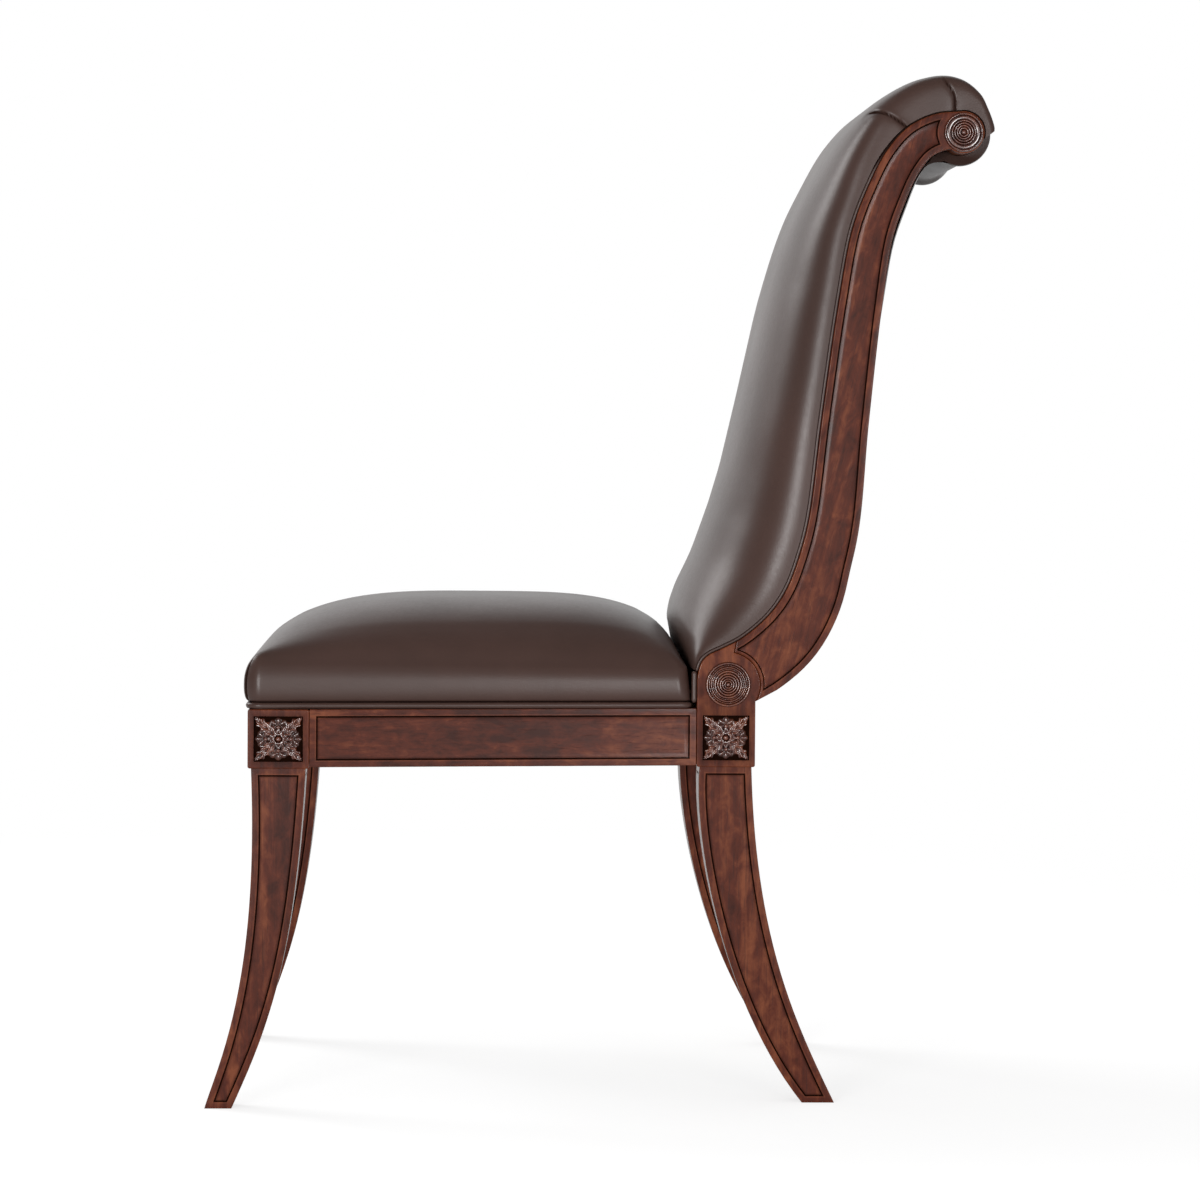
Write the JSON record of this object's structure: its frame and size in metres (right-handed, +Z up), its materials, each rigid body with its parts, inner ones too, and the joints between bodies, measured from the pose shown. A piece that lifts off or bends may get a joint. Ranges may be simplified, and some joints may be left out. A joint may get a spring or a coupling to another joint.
{
  "type": "upholstered klismos side chair",
  "caption": "Klismos side chair with swept sabre legs, a scrolled wooden back frame, a padded leather back that rolls over the crest and a crowned leather seat.",
  "frame": {"origin": "on the floor under the middle of the chair's box: X in the plane between the two sides, Y halfway between the front toes and the back of the crest", "axes": "+Z up, -Y towards the front of the chair, +X towards the sitter's left"},
  "size_m": [0.5158, 0.7748, 1.02],
  "materials": {
    "mahogany": "polished red-brown mahogany with dark incised lines",
    "inner_wood": "unfinished hardwood",
    "leather": "satin chocolate leather with fine grain and soft creases",
    "foam": "upholstery padding",
    "webbing": "woven jute webbing",
    "dust_cloth": "black woven dust cloth",
    "screw_steel": "plain steel"
  },
  "bodies": {
    "root": {"front_leg_left": "mahogany", "front_leg_right": "mahogany", "rear_leg_left": "mahogany", "rear_leg_right": "mahogany", "back_stile_left": "mahogany", "back_stile_right": "mahogany", "side_rail_left": "mahogany", "side_rail_right": "mahogany", "front_rail": "mahogany", "rear_rail": "mahogany", "front_side_plaque_left": "mahogany", "front_side_plaque_right": "mahogany", "front_face_plaque_left": "mahogany", "front_face_plaque_right": "mahogany", "rear_side_plaque_left": "mahogany", "rear_side_plaque_right": "mahogany", "head_roundel_left": "mahogany", "head_roundel_right": "mahogany", "scroll_roundel_left": "mahogany", "scroll_roundel_right": "mahogany", "lower_back_rail": "inner_wood", "crest_rail": "inner_wood", "seat_board": "inner_wood", "front_corner_block_left": "inner_wood", "front_corner_block_right": "inner_wood", "rear_corner_block_left": "inner_wood", "rear_corner_block_right": "inner_wood", "stile_dowel_lower_left": "inner_wood", "stile_dowel_lower_right": "inner_wood", "stile_dowel_upper_left": "inner_wood", "stile_dowel_upper_right": "inner_wood", "seat_cover": "leather", "seat_welt": "leather", "seat_corner_welt_left": "leather", "seat_corner_welt_right": "leather", "inside_back_cover": "leather", "outside_back_cover": "leather", "back_welt_left": "leather", "back_welt_right": "leather", "seat_foam": "foam", "back_foam": "foam", "crest_roll_pad": "foam", "back_webbing": "webbing", "dust_cover": "dust_cloth", "front_rail_screw_left": "screw_steel", "front_rail_screw_right": "screw_steel", "front_side_screw_left": "screw_steel", "front_side_screw_right": "screw_steel", "front_seat_screw_left": "screw_steel", "front_seat_screw_right": "screw_steel", "rear_rail_screw_left": "screw_steel", "rear_rail_screw_right": "screw_steel", "rear_side_screw_left": "screw_steel", "rear_side_screw_right": "screw_steel", "rear_seat_screw_left": "screw_steel", "rear_seat_screw_right": "screw_steel"}
  },
  "joints": []
}
